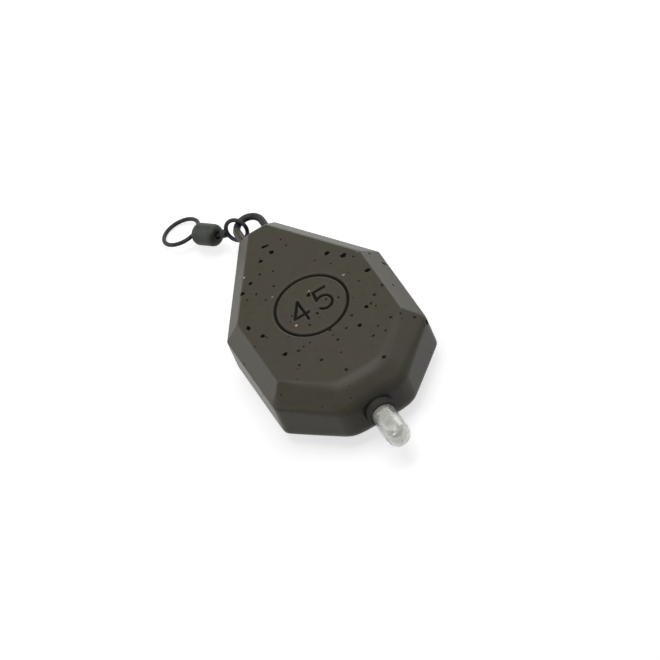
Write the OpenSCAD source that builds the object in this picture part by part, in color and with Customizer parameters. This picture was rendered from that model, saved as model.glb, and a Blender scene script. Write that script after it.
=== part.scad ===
// A flat lead sinker with a speckled coat, a barrel swivel on a wire loop, and a push-in nose light.
// X runs across the weight, +Y towards the swivel and +Z out of the front face.
// The origin lies on the flat back face, at half the weight's length.

/* [Weight] */
// Length from the nose to the narrow end
body_len = 46.8; // [44:0.2:52]
// Width across the two parallel sides
body_w = 31; // [29:0.5:38]
// Thickness from the back face to the front face
body_t = 12.8; // [12:0.2:16]
// Width of the narrow end outside each leg of the wire loop
end_land = 0.55; // [0.3:0.05:1.5]
// Width of the nose that the light leaves
nose_w = 12; // [11:0.5:16]
// Length over which the sides taper to the narrow end
end_taper = 18.6; // [16:0.2:20]
// Length over which the sides taper to the nose
nose_taper = 9.2; // [8:0.2:11]
// Height of the upright wall between the two bevels
wall_h = 7.2; // [6.6:0.2:8]
// How far the bevels come in along the narrow end
tip_bevel = 1.9; // [1.7:0.1:2.6]
// How far the bevels come in along the two long sides that taper to the narrow end
end_bevel = 2.6; // [2.2:0.1:3]
// How far the bevels come in along the parallel sides
side_bevel = 3; // [2.4:0.1:4]
// How far the bevels come in along the nose and its two short sides
nose_bevel = 4; // [3:0.1:4.6]
// Rounding of every edge
edge_r = 0.8; // [0.7:0.05:1.2]
// Thickness of the dipped coat
coat_t = 0.6; // [0.4:0.05:0.65]

/* [Ring groove] */
// Radius of the groove's middle line
ring_r = 6.6; // [5:0.2:7.6]
// Width of the groove
ring_w = 0.7; // [0.5:0.1:1.2]
// Depth of the groove, less than the coat
ring_depth = 0.3; // [0.2:0.05:0.35]
// How far the ring's centre lies from half the weight's length, towards the nose
ring_down = 0.4; // [0:0.2:3]

/* [Wire loop] */
// Thickness of the loop's wire
loop_wire = 1.3; // [1.2:0.1:1.6]
// Radius of the bend, to the middle of the wire
loop_r = 2.4; // [2.3:0.1:2.7]
// Straight run of each leg outside the weight
loop_rise = 5; // [4.2:0.2:6]
// Lead left between the light's sleeve and the anchor feet
anchor_land = 4.1; // [3:0.1:6]
// Radius of the bend into each anchor foot
foot_bend = 2; // [1.6:0.1:2.4]
// Straight length of each anchor foot
foot_len = 1.5; // [1:0.25:3]

/* [Swivel] */
// Thickness of the wire of both eyes
eye_wire = 0.75; // [0.7:0.05:0.9]
// Small eye's diameter, to the middle of the wire
small_eye = 4.1; // [4:0.1:4.6]
// Big eye's diameter, to the middle of the wire
big_eye = 6.8; // [6:0.1:7.2]
// Length of the small eye's neck, from the ring to the barrel
small_neck = 1.6; // [1.3:0.02:2]
// Length of the big eye's neck
big_neck = 0.3; // [0.3:0.05:1]
// Diameter of a neck's thick part
neck_root = 1.55; // [1.2:0.05:1.6]
// Outer diameter of the barrel
barrel_d = 4; // [3.6:0.02:4.2]
// Length of the barrel
barrel_len = 5.3; // [5.2:0.1:6.6]
// Wall of the barrel
barrel_wall = 0.45; // [0.35:0.05:0.45]
// Hole at each end of the barrel
barrel_hole = 1.3; // [1.25:0.05:1.4]
// Rounding of the barrel's closed-in ends
barrel_round = 1.1; // [0.7:0.05:1.2]
// Diameter of the head that holds each eye in the barrel
head_d = 1.6; // [1.55:0.05:1.65]
// Thickness of each head
head_t = 0.5; // [0.3:0.05:0.5]
// Distance from the end hole to the head's near face
head_in = 0.8; // [0.75:0.05:0.9]

/* [Swivel at rest] */
// Where on the bend the small eye hangs, from +X towards +Y
hook_angle = 135; // [110:5:150]
// Tilt of the small eye about the line out of the bend
eye_roll = 22; // [10:1:24]
// Direction from the wire to the small eye's centre, below level
hang_angle = 70; // [50:5:70]
// Dip of the small eye's neck below level
neck_dip = 19; // [14:1:24]
// Heading of the barrel, from +X towards +Y
barrel_heading = 121; // [112:1:124]
// Dip of the barrel below level
barrel_dip = 17; // [12:1:18]
// Roll of the big eye about the barrel
big_eye_roll = -6; // [-16:1:10]

/* [Light] */
// Wall of the tube
tube_wall = 0.5; // [0.4:0.02:0.5]
// How far the tube stands out of the lip
light_out = 7.7; // [6:0.1:9]
// How far the cap's plug reaches into the tube while the lamp is off
plug_in = 2.6; // [2:0.1:4]
// How far the rubber lip stands out of the nose
lip_out = 1.5; // [1:0.1:2]
// Wall of the rubber sleeve
sleeve_wall = 0.48; // [0.4:0.02:0.7]
// Rounding of the lip's outer edge
lip_round = 0.25; // [0.1:0.05:0.35]
// Travel of the push cap, which switches the lamp
press_travel = 1.2; // [0.8:0.1:1.3]
// Thickness of the cap's head
cap_head_t = 1.2; // [0.8:0.1:1.6]

/* [Lamp] */
// How far the lamp's rim stands out of its clear body
rim_step = 0.15; // [0.1:0.01:0.25]
// Length of the lamp's clear body, with its dome and rim
lamp_len = 5.3; // [5:0.1:5.8]
// Room between the lamp's dome and the inside of the tube's tip
lamp_room = 1.4; // [1:0.1:2]
// Thickness of the lamp's rim
rim_t = 0.8; // [0.5:0.1:1]
// Width of each lamp leg
leg_w = 0.4; // [0.35:0.05:0.5]
// Thickness of the lamp's legs
leg_t = 0.4; // [0.3:0.05:0.5]

/* [Battery] */
// Diameter of the cell, which sets the bore of the tube
cell_d = 3; // [2.8:0.05:3.2]
// Wall of the contact cup round the cell
cup_wall = 0.13; // [0.1:0.01:0.2]
// Length of the cell's can
cell_len = 20; // [19:0.2:20.4]
// Wall of the can
can_wall = 0.12; // [0.1:0.01:0.2]
// Diameter of the cell's pin
pin_d = 0.6; // [0.5:0.05:0.7]
// How far the pin stands out of the can
pin_out = 2; // [1.6:0.1:2.2]
// Gap between the pin and its socket while the lamp is off
pin_gap = 0.3; // [0.2:0.05:0.6]
// Thickness of the plastic seal round the pin
gasket_t = 1.2; // [1:0.1:1.6]

/* [Hidden] */
// Running clearance of the light in its sleeve and of the cap in the tube
slide_gap = 0.02;
// Clearance round a piece that is cast, pressed or moulded in
seat_gap = 0.01;
// Clearance of the cell in its contact cup and of the pin in its socket
cell_gap = 0.06;
// Clearance between the loop's wire and the small eye that hangs on it
hang_gap = 0.08;
// Overrun of every cut past the face that it opens
over = 0.5;
// Flats of the small balls that round the weight's edges
ball_sides = 24;
ball_step = 15;
$fn = 64;

// Room between the lamp's rim and the tube
rim_gap = 0.05;
// Shares of each eye's neck: its thick part, and the shoulder that narrows it to the shank
thick_share = 0.45;
shoulder_share = 0.25;

mid_z = body_t / 2;
end_w = 2 * (loop_r + end_land) + loop_wire;
bevel_h = (body_t - wall_h) / 2;
end_y = body_len / 2;
nose_y = -body_len / 2;

// The weight's outline at its widest level, clockwise from the narrow end's right corner
outline = [
    [end_w / 2, end_y], [body_w / 2, end_y - end_taper],
    [body_w / 2, nose_y + nose_taper], [nose_w / 2, nose_y],
    [-nose_w / 2, nose_y], [-body_w / 2, nose_y + nose_taper],
    [-body_w / 2, end_y - end_taper], [-end_w / 2, end_y]
];
// How far each side's bevel comes in, in the outline's order
bevels = [end_bevel, side_bevel, nose_bevel, nose_bevel, nose_bevel, side_bevel, end_bevel, tip_bevel];

// Unit vector into the outline, square to the side that starts at corner i
function inward(p, i) = let (d = p[(i + 1) % len(p)] - p[i]) [d[1], -d[0]] / norm(d);

// Corner i after the two sides that meet there have moved in, each by its own inset
function inset_corner(p, insets, i) =
    let (j = (i + len(p) - 1) % len(p))
    let (n = inward(p, j), m = inward(p, i))
    let (c = n * p[i] + insets[j], e = m * p[i] + insets[i])
    [c * m[1] - e * n[1], n[0] * e - m[0] * c] / cross(n, m);

function inset_outline(p, insets) = [for (i = [0:len(p) - 1]) inset_corner(p, insets, i)];

// Inset of an edge ball under the face, so that it touches both the face and the bevel
function face_inset(bevel) =
    let (slope = atan2(bevel_h, bevel))
    edge_r / sin(slope) + (bevel_h - edge_r) / tan(slope);

side_slope = atan2(bevel_h, side_bevel);
ridge_drop = edge_r * (1 - sin(side_slope)) / cos(side_slope);
ridge_line = inset_outline(outline, [for (b = bevels) edge_r]);
face_line = inset_outline(outline, [for (b = bevels) face_inset(b)]);

// A ball whose poles and sides reach the full radius, so that hulls of it have true flat faces
module edge_ball(r) {
    rotate_extrude($fn = ball_sides)
        polygon([for (a = [-90:ball_step:90]) r * [cos(a), sin(a)]]);
}

// The weight's form, with edges of radius r round the same centres
module weight_form(r) {
    hull()
        for (side = [-1, 1]) {
            for (p = ridge_line)
                translate([p[0], p[1], mid_z + side * (wall_h / 2 - ridge_drop)]) edge_ball(r);
            for (p = face_line)
                translate([p[0], p[1], mid_z + side * (mid_z - edge_r)]) edge_ball(r);
        }
}

// Turns an upright piece to lie along the weight, its foot at y
module lie_at(y) {
    translate([0, y, mid_z]) rotate([-90, 0, 0]) children();
}

// The loop's wire, grown all round for the hole that it leaves in what holds it
module loop_form(grow) {
    wire = loop_wire + 2 * grow;
    translate([0, loop_y, mid_z])
        rotate_extrude(angle = 180) translate([loop_r, 0]) circle(d = wire);
    for (side = [0, 1])
        mirror([side, 0, 0]) {
            translate([loop_r, leg_y, mid_z])
                rotate([-90, 0, 0]) cylinder(d = wire, h = loop_y - leg_y);
            translate([loop_r + foot_bend, leg_y, mid_z])
                rotate([0, 0, 180])
                    rotate_extrude(angle = 90) translate([foot_bend, 0]) circle(d = wire);
            translate([loop_r + foot_bend, foot_y, mid_z])
                rotate([0, 90, 0]) cylinder(d = wire, h = foot_len + grow);
        }
}

// Places along the light, counted from the tip of its tube towards the swivel
tip_y = nose_y - lip_out - light_out;
bore_r = cell_d / 2 + cell_gap + cup_wall + seat_gap;
tube_r = bore_r + tube_wall;
rim_d = 2 * (bore_r - rim_gap);
lamp_d = rim_d - 2 * rim_step;
lamp_tip = tube_wall + lamp_room;
lamp_end = lamp_tip + lamp_len;
jog_run = 0.5;
jog_end = lamp_end + jog_run + leg_w;
tail_len = 0.5;
socket_front = jog_end + tail_len;
socket_wall = 0.3;
socket_len = 3;
socket_end = socket_front + socket_len;
socket_r = pin_d / 2 + cell_gap + socket_wall;
bush_front = jog_end + tail_len / 2;
cup_front = socket_end - socket_wall - pin_d;
bush_len = cup_front - bush_front;
pin_tip = socket_end + pin_gap;
can_front = pin_tip + pin_out;
can_end = can_front + cell_len;
plug_front = can_end + cell_gap;
tube_len = plug_front + plug_in;
cap_gap = 0.1;
plug_end = tube_len + press_travel + cap_gap;
light_len = plug_end + cap_head_t;
cup_cover = 1.2;
cup_len = can_front + cup_cover - cup_front;

sleeve_in = tube_r + slide_gap;
sleeve_out = sleeve_in + sleeve_wall;
sleeve_y = nose_y - lip_out;
sleeve_room = 0.5;
sleeve_hollow = tip_y + light_len + sleeve_room - sleeve_y;
sleeve_len = sleeve_hollow + sleeve_wall;

loop_y = end_y + loop_rise;
foot_y = sleeve_y + sleeve_len + anchor_land + loop_wire / 2;
leg_y = foot_y + foot_bend;

module sleeve_hole() {
    lie_at(sleeve_y - over) cylinder(r = sleeve_out + seat_gap, h = sleeve_len + over + seat_gap);
}

module cast_weight() {
    color([0.42, 0.43, 0.45])
        difference() {
            weight_form(edge_r - coat_t);
            loop_form(seat_gap);
            sleeve_hole();
        }
}

module speckled_coat() {
    color([0.30, 0.28, 0.25])
        difference() {
            weight_form(edge_r);
            weight_form(edge_r - coat_t);
            loop_form(seat_gap);
            sleeve_hole();
            translate([0, -ring_down, body_t - ring_depth])
                difference() {
                    cylinder(r = ring_r + ring_w / 2, h = ring_depth + over);
                    translate([0, 0, -over]) cylinder(r = ring_r - ring_w / 2, h = ring_depth + 3 * over);
                }
        }
}

module wire_loop() {
    color([0.16, 0.16, 0.16]) loop_form(0);
}

module socket_sleeve() {
    color([0.13, 0.12, 0.11])
        lie_at(sleeve_y)
            rotate_extrude()
                polygon(concat(
                    [[sleeve_in, 0]],
                    [for (a = [-90:15:0])
                        [sleeve_out - lip_round + lip_round * cos(a), lip_round + lip_round * sin(a)]],
                    [[sleeve_out, sleeve_len], [0, sleeve_len], [0, sleeve_hollow], [sleeve_in, sleeve_hollow]]
                ));
}

// Turns of a point about each axis
function turn_x(v, a) = [v[0], v[1] * cos(a) - v[2] * sin(a), v[1] * sin(a) + v[2] * cos(a)];
function turn_y(v, a) = [v[0] * cos(a) + v[2] * sin(a), v[1], v[2] * cos(a) - v[0] * sin(a)];
function turn_z(v, a) = [v[0] * cos(a) - v[1] * sin(a), v[0] * sin(a) + v[1] * cos(a), v[2]];

// The small eye hangs on the bend: its ring's inner edge bears on the wire
small_r = small_eye / 2;
big_r = big_eye / 2;
eye_hang = small_r - eye_wire / 2 - loop_wire / 2 / cos(eye_roll) - hang_gap;
hook_point = [loop_r * cos(hook_angle), loop_y + loop_r * sin(hook_angle), mid_z];
hook_tangent = [sin(hook_angle), -cos(hook_angle), 0];
small_reach = small_r + eye_wire / 2 + small_neck + barrel_wall / 2;
big_reach = big_r + eye_wire / 2 + big_neck + barrel_wall / 2;
hang_step = eye_hang * [cos(hang_angle), 0, -sin(hang_angle)];
neck_step = small_reach * [cos(neck_dip), 0, -sin(neck_dip)];
barrel_point = hook_point + turn_z(turn_x(hang_step + neck_step, eye_roll), hook_angle);
barrel_axis = turn_z(turn_y([1, 0, 0], barrel_dip), barrel_heading);

module at_small_eye() {
    translate(hook_point) rotate([0, 0, hook_angle]) rotate([eye_roll, 0, 0])
        translate(hang_step) rotate([0, neck_dip, 0]) rotate([90, 0, 0]) children();
}

// The barrel's frame: its axis is +X and the origin is in the middle of its near end hole
module at_barrel() {
    translate(barrel_point) rotate([0, barrel_dip, barrel_heading]) children();
}

// An eye in the XY plane, with its neck, shank and head along +X.
// The neck swells out of the ring, keeps its thickness, and rounds off to the shank.
module eye_form(ring, reach, neck) {
    wire_r = eye_wire / 2;
    swell = neck_root / 2 - wire_r;
    shoulder_at = ring + wire_r + neck * thick_share;
    rotate_extrude() translate([ring, 0]) circle(r = wire_r);
    rotate([0, 90, 0])
        rotate_extrude()
            polygon(concat(
                [[0, ring]],
                [for (a = [0:22.5:90]) [wire_r + swell * sin(a), ring + wire_r * (1 - cos(a))]],
                [for (a = [0:22.5:90]) [wire_r + swell * cos(a), shoulder_at + neck * shoulder_share * sin(a)]],
                [[wire_r, reach + head_in], [head_d / 2, reach + head_in],
                 [head_d / 2, reach + head_in + head_t], [0, reach + head_in + head_t]]
            ));
}

module swivel_small_eye() {
    color([0.17, 0.17, 0.17]) at_small_eye() eye_form(small_r, small_reach, small_neck);
}

module swivel_big_eye() {
    color([0.17, 0.17, 0.17])
        at_barrel()
            translate([barrel_len - barrel_wall + big_reach, 0, 0])
                rotate([big_eye_roll, 0, 180]) eye_form(big_r, big_reach, big_neck);
}

// Half of the barrel's outline, from its end to its middle, moved in by the wall
function barrel_end(inset) =
    let (turn = max(barrel_round - inset, inset / 2))
    concat(
        [[barrel_hole / 2, inset]],
        [for (a = [-90:15:0])
            [barrel_d / 2 - inset - turn + turn * cos(a), inset + turn + turn * sin(a)]]
    );
function at_far_end(points) = [for (p = points) [p[0], barrel_len - p[1]]];
function backwards(points) = [for (i = [len(points) - 1:-1:0]) points[i]];

module swivel_barrel() {
    outer = barrel_end(0);
    inner = barrel_end(barrel_wall);
    color([0.15, 0.15, 0.14])
        at_barrel()
            translate([-barrel_wall / 2, 0, 0])
                rotate([0, 90, 0])
                    rotate_extrude()
                        polygon(concat(outer, backwards(at_far_end(outer)), at_far_end(inner), backwards(inner)));
}

module light_tube() {
    color([0.85, 0.85, 0.80, 0.5])
        lie_at(tip_y)
            difference() {
                union() {
                    translate([0, 0, tube_r]) sphere(r = tube_r);
                    translate([0, 0, tube_r]) cylinder(r = tube_r, h = tube_len - tube_r);
                }
                translate([0, 0, tube_r]) sphere(r = bore_r);
                translate([0, 0, tube_r]) cylinder(r = bore_r, h = tube_len);
            }
}

// The lamp's two legs, grown for the hollow that they leave in its clear body
cathode_x = -0.65;
anode_x = 1.05;
cup_rim = 1.9;
cup_d = 0.9;
cup_h = 0.5;
anvil_h = 1;
anvil_side = 0.3;
finger_in = 0.3;
chip_w = 0.3;
chip_h = 0.2;
chip_cup_d = 0.6;
chip_cup_h = 0.3;

// A bar from x0 to x1 and z0 to z1, as thick as the legs, grown all round
module leg_bar(x0, x1, z0, z1, grow) {
    translate([x0 - grow, -leg_t / 2 - grow, z0 - grow])
        cube([x1 - x0 + 2 * grow, leg_t + 2 * grow, z1 - z0 + 2 * grow]);
}

module cathode_form(grow) {
    cup_at = lamp_tip + cup_rim;
    translate([0, 0, cup_at - grow]) cylinder(d = cup_d + 2 * grow, h = cup_h + 2 * grow);
    leg_bar(cathode_x - leg_w / 2, anvil_side, cup_at + cup_h / 2, cup_at + cup_h + anvil_h, grow);
    leg_bar(cathode_x - leg_w / 2, cathode_x + leg_w / 2, cup_at + cup_h, jog_end, grow);
    leg_bar(cathode_x - leg_w / 2, leg_w / 2, jog_end - leg_w, jog_end, grow);
    leg_bar(-leg_w / 2, leg_w / 2, jog_end - leg_w, socket_front - seat_gap, grow);
}

module anode_form(grow) {
    cup_at = lamp_tip + cup_rim;
    leg_bar(anode_x - leg_w / 2 - finger_in, anode_x + leg_w / 2, cup_at, cup_at + cup_h, grow);
    leg_bar(anode_x - leg_w / 2, anode_x + leg_w / 2, cup_at, cup_front - seat_gap, grow);
}

module led_lens() {
    color([0.92, 0.93, 0.90, 0.45])
        lie_at(tip_y)
            difference() {
                union() {
                    translate([0, 0, lamp_tip + lamp_d / 2]) sphere(d = lamp_d);
                    translate([0, 0, lamp_tip + lamp_d / 2]) cylinder(d = lamp_d, h = lamp_len - lamp_d / 2);
                    translate([0, 0, lamp_end - rim_t]) cylinder(d = rim_d, h = rim_t);
                }
                cathode_form(seat_gap);
                anode_form(seat_gap);
            }
}

module led_cathode_leg() {
    color([0.75, 0.75, 0.76])
        lie_at(tip_y)
            difference() {
                cathode_form(0);
                translate([0, 0, lamp_tip + cup_rim - over])
                    cylinder(d = chip_cup_d, h = chip_cup_h + over);
            }
}

module led_anode_leg() {
    color([0.75, 0.75, 0.76]) lie_at(tip_y) anode_form(0);
}

module led_chip() {
    color([0.9, 0.85, 0.35])
        lie_at(tip_y)
            translate([-chip_w / 2, -chip_w / 2, lamp_tip + cup_rim + chip_cup_h - chip_h])
                cube([chip_w, chip_w, chip_h]);
}

module bush() {
    color([0.93, 0.93, 0.90])
        lie_at(tip_y)
            difference() {
                translate([0, 0, bush_front]) cylinder(r = bore_r - seat_gap, h = bush_len - seat_gap);
                translate([0, 0, bush_front - over]) cylinder(r = socket_r + seat_gap, h = bush_len + 2 * over);
                leg_bar(anode_x - leg_w / 2, anode_x + leg_w / 2, bush_front - over, cup_front + over, seat_gap);
            }
}

module pin_socket() {
    color([0.78, 0.62, 0.30])
        lie_at(tip_y)
            difference() {
                translate([0, 0, socket_front]) cylinder(r = socket_r, h = socket_len);
                translate([0, 0, socket_front + socket_wall])
                    cylinder(r = pin_d / 2 + cell_gap, h = socket_len);
            }
}

module contact_cup() {
    color([0.80, 0.79, 0.75])
        lie_at(tip_y)
            translate([0, 0, cup_front])
                difference() {
                    cylinder(r = bore_r - seat_gap, h = cup_len);
                    translate([0, 0, cup_wall]) cylinder(r = cell_d / 2 + cell_gap, h = cup_len);
                    translate([0, 0, -over]) cylinder(r = socket_r + socket_wall, h = 2 * over + cup_wall);
                }
}

// The seal sits in a groove of the cap's plug and just meets the tube
seal_d = 0.5;
seal_r = bore_r - seat_gap - seal_d / 2;
seal_at = plug_front + 2 * seal_d;
module end_cap() {
    groove_r = seal_r - seal_d / 2 - seat_gap;
    grip_d = cap_head_t / 3;
    color([0.88, 0.88, 0.84])
        lie_at(tip_y)
            difference() {
                union() {
                    translate([0, 0, plug_front])
                        cylinder(r = bore_r - slide_gap, h = plug_end - plug_front + cap_head_t / 2);
                    translate([0, 0, plug_end]) cylinder(r = tube_r, h = cap_head_t);
                }
                translate([0, 0, seal_at])
                    difference() {
                        cylinder(r = bore_r + over, h = seal_d + 2 * seat_gap, center = true);
                        cylinder(r = groove_r, h = seal_d + over, center = true);
                    }
                translate([0, 0, plug_end + cap_head_t / 2])
                    rotate_extrude() translate([tube_r, 0]) circle(d = grip_d);
            }
}

module o_ring() {
    color([0.12, 0.12, 0.12])
        lie_at(tip_y)
            translate([0, 0, seal_at])
                rotate_extrude() translate([seal_r, 0]) circle(d = seal_d);
}

// Inside the cell, from the can inwards
mix_r = cell_d / 2 - can_wall - seat_gap;
mix_wall = 0.48;
separator_wall = 0.08;
separator_r = mix_r - mix_wall - seat_gap;
lithium_r = separator_r - separator_wall - seat_gap;
crimp_in = 0.3;
flange_t = 0.3;
pin_foot = 3;
fill_front = can_front + can_wall + gasket_t + flange_t + 3 * seat_gap;
fill_len = can_end - can_wall - seat_gap - fill_front;

module battery_can() {
    color([0.80, 0.81, 0.82])
        lie_at(tip_y)
            translate([0, 0, can_front])
                difference() {
                    cylinder(d = cell_d, h = cell_len);
                    translate([0, 0, can_wall]) cylinder(r = mix_r + seat_gap, h = cell_len - 2 * can_wall);
                    translate([0, 0, -over]) cylinder(r = mix_r - crimp_in, h = 2 * over);
                }
}

module battery_gasket() {
    color([0.25, 0.30, 0.42])
        lie_at(tip_y)
            translate([0, 0, can_front + can_wall + seat_gap])
                difference() {
                    cylinder(r = mix_r, h = gasket_t);
                    translate([0, 0, -over]) cylinder(r = pin_d / 2 + seat_gap, h = gasket_t + 2 * over);
                }
}

module battery_pin() {
    color([0.78, 0.76, 0.72])
        lie_at(tip_y) {
            translate([0, 0, pin_tip]) cylinder(d = pin_d, h = fill_front + pin_foot - pin_tip);
            translate([0, 0, fill_front - seat_gap - flange_t]) cylinder(d = 2 * pin_d, h = flange_t);
        }
}

module battery_mix() {
    color([0.12, 0.12, 0.13])
        lie_at(tip_y)
            translate([0, 0, fill_front])
                difference() {
                    cylinder(r = mix_r, h = fill_len);
                    translate([0, 0, -over]) cylinder(r = mix_r - mix_wall, h = fill_len + 2 * over);
                }
}

module battery_separator() {
    color([0.92, 0.92, 0.92])
        lie_at(tip_y)
            translate([0, 0, fill_front])
                difference() {
                    cylinder(r = separator_r, h = fill_len);
                    translate([0, 0, -over])
                        cylinder(r = separator_r - separator_wall, h = fill_len + 2 * over);
                }
}

module battery_lithium() {
    color([0.70, 0.71, 0.74])
        lie_at(tip_y)
            translate([0, 0, fill_front])
                difference() {
                    cylinder(r = lithium_r, h = fill_len);
                    translate([0, 0, -over])
                        cylinder(r = pin_d / 2 + seat_gap, h = pin_foot + seat_gap + over);
                }
}

echo(small_eye_turns_at = hook_point, about = hook_tangent);
echo(barrel_turns_at = barrel_point, about = barrel_axis);
echo(big_eye_centre = barrel_point + (barrel_len - barrel_wall + big_reach) * barrel_axis);
echo(light_from = tip_y, light_to = tip_y + light_len, sleeve_to = sleeve_y + sleeve_len);

cast_weight();
speckled_coat();
wire_loop();
socket_sleeve();
swivel_small_eye();
swivel_barrel();
swivel_big_eye();
light_tube();
led_lens();
led_cathode_leg();
led_anode_leg();
led_chip();
bush();
pin_socket();
contact_cup();
end_cap();
o_ring();
battery_can();
battery_gasket();
battery_pin();
battery_mix();
battery_separator();
battery_lithium();
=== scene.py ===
"""Finish, small details, light and camera of a speckled lead sinker with a swivel and a nose light."""

import math
import random

import bmesh
import bpy
import numpy as np
from mathutils import Matrix, Vector
from mathutils.bvhtree import BVHTree


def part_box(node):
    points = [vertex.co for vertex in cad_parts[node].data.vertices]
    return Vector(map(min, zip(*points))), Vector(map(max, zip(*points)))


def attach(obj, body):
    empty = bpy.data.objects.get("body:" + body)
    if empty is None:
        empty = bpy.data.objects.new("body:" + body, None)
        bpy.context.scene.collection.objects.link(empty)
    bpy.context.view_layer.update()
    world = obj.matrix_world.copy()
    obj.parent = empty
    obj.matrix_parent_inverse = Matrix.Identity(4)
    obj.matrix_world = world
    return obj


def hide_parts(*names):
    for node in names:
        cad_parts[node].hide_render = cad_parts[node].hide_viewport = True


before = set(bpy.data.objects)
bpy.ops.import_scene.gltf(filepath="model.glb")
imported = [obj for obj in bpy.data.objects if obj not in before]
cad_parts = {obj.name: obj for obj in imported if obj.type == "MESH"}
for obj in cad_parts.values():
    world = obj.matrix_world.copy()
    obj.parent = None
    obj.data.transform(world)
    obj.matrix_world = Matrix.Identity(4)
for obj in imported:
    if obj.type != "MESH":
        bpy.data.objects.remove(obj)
bpy.context.view_layer.update()

# Lengths are in mm, and times MM where Blender needs metres. Those of the camera, the studio and the rays
# that find the flecks are in metres. Points closer than WELD_GAP are one, and closer than HAIR they touch.
MM = 0.001
WELD_GAP = 0.0001
HAIR = 0.01

# How the photograph looks at the sinker: a pixel and the place on the front that it shows, the scale, and
# the directions to the picture's right, to its top and back to the camera
PHOTO_MIDDLE = (330, 330)
ANCHOR_PIXEL = (308.5, 309.1)
ANCHOR_PLACE = Vector((0, 4.82, 6.4)) * MM
PIXELS_PER_MM = 5.735
LOOK_RIGHT = Vector((0.8553, -0.4377, -0.2772)).normalized()
LOOK_UP = Vector((0.5092, 0.6115, 0.6056)).normalized()
LOOK_BACK = LOOK_RIGHT.cross(LOOK_UP).normalized()
CAMERA_AWAY = 2.0
CAMERA_REACH = 20
FILM_WIDTH = 36

# The studio: the place and level of each soft box, the surround as a source of light, and the floor with
# its own glow, which the camera sees a little more of
SOFT_BOXES = {
    "top_box": ((0, 0.025, 0.50), 2.85),
    "right_box": ((0.30, 0.025, 0.40), 1.05),
    "left_box": ((-0.47, -0.05, 0.15), 1.05),
    "far_left_box": ((-0.30, 0.38, 0.11), 1.8),
    "far_right_box": ((0.30, 0.38, 0.11), 2.7),
}
BOX_WIDTH = 0.34
SURROUND_DIM = 0.02
FLOOR_REACH = 6.0
FLOOR_DROP = 0.02 * MM
FLOOR_GREY = 0.66
FLOOR_GLOW = 0.56
FLOOR_GLOW_TO_CAMERA = 0.12

# The ring and the number pressed into the front face, and the round patch that carries them. Nothing of
# the CAD solid's own plain ring lies deeper than CAD_RING_REACH.
RING_PLACE = (0, -0.4)
RING_RADIUS = 6.6
CAD_RING_REACH = 0.5
GROOVE_HALF = 0.38
GROOVE_DEPTH = 0.44
GROOVE_LIP = 0.03
NUMERAL_HEIGHT = 4.6
NUMERAL_WIDTH = 2.8
NUMERAL_GAP = 1.0
PATCH_RADIUS = 7.6
PATCH_TURNS = 288
PATCH_RINGS = 96

# The dip's rounded edges. From NOSE_STARTS on, over NOSE_FADE, their radius grows to the nose's, on sides
# cut into small cells. Only the skin moves, and a side counts from SIDE_LEAST up, in square mm.
EDGE_ROUNDING = 0.5
NOSE_ROUNDING = 1.25
NOSE_STARTS = -12.5
NOSE_FADE = 11
NOSE_EASE = 1.5
NOSE_CELL = 0.5
ROUNDING_PASSES = 4
SKIN_DEPTH = 0.3
SIDE_LEAST = 8

# How far the dip has crept up the legs of the wire loop, how thick it is, how much it flares at the foot,
# how far it starts inside the coat and how far its thin end sinks into the wire
LOOP_BEND = 2.4
LEFT_CREEP = 5.9
RIGHT_CREEP = 2.6
CREPT_FILM = 0.13
CREPT_FLARE = 0.34
CREPT_FOOT = 0.4
CREPT_SINK = 0.02
CREPT_TURNS = 28
CREPT_STEPS = 26

# The eyes of the swivel, made again as one smooth skin
EYE_WELD = 0.001
EYE_VOXEL = 0.075
EYE_SMOOTHINGS = 9

# A fleck is a thin ragged flake: its crown stands over the coat's skin, its skirt goes into it, and its
# corners reach out by shares of its size
FLAKE_CROWN = 0.012
FLAKE_SKIRT = 0.05
FLAKE_CORNERS = 11
FLAKE_REACHES = (0.72, 1.12)
SCATTERED_LENGTHS = (0.3, 0.4, 0.5, 0.65, 0.9)
SCATTERED_WIDTHS = (0.45, 0.85)

# Rays that find the flecks' places start this far off. A side is hidden from the photograph where its
# normal's share towards the camera is below TURNED_AWAY.
CAST_FROM = 0.1
TURNED_AWAY = -0.05

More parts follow.
